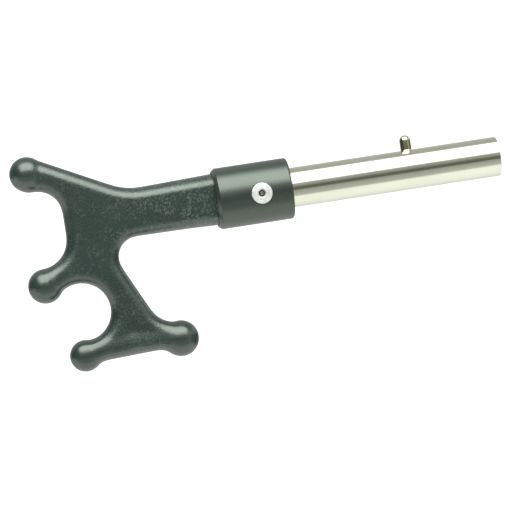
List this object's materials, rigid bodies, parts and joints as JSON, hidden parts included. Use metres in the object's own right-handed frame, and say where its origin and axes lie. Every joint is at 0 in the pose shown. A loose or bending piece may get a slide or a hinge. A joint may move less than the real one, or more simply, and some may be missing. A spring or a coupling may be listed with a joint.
{
  "type": "boat hook head",
  "caption": "Boat hook head: moulded web with ball-ended prongs, round riveted collar, and a polished steel spigot with a sprung snap button.",
  "frame": {"origin": "on the spigot's axis, in the plane of the socket's end face, where the pole stops", "axes": "+X along the spigot to its open tip, +Z the side that the snap button stands on, +Y the far side in the usual view; the hooks lie in the XZ plane towards -X"},
  "size_m": [0.2701, 0.0362, 0.1217],
  "materials": {
    "grained_nylon": "black-green moulded nylon with a fine spark-eroded grain and a soft sheen",
    "smooth_nylon": "the same black-green nylon, smoother, with a satin sheen",
    "polished_steel": "stainless steel tube, lengthwise polished to a bright finish",
    "rivet_aluminium": "bright pressed aluminium",
    "mandrel_steel": "dull broken steel",
    "button_steel": "turned stainless steel, satin",
    "spring_steel": "rolled stainless spring strip, blued slightly at the bend"
  },
  "bodies": {
    "root": {"hook_head": "grained_nylon", "collar_sleeve": "smooth_nylon", "spigot_tube": "polished_steel", "front_rivet_body": "rivet_aluminium", "front_rivet_mandrel": "mandrel_steel", "back_rivet_body": "rivet_aluminium", "back_rivet_mandrel": "mandrel_steel", "button_spring": "spring_steel"},
    "button": {"snap_button": "button_steel"}
  },
  "joints": [
    {"name": "button_press", "type": "slide", "parent": "root", "child": "button", "axis": [0, 0, -1], "range_m": [0, 0.0084], "stiffness_N_per_m": 1750, "springref_m": -0.003, "deforming": ["button_spring"]}
  ]
}
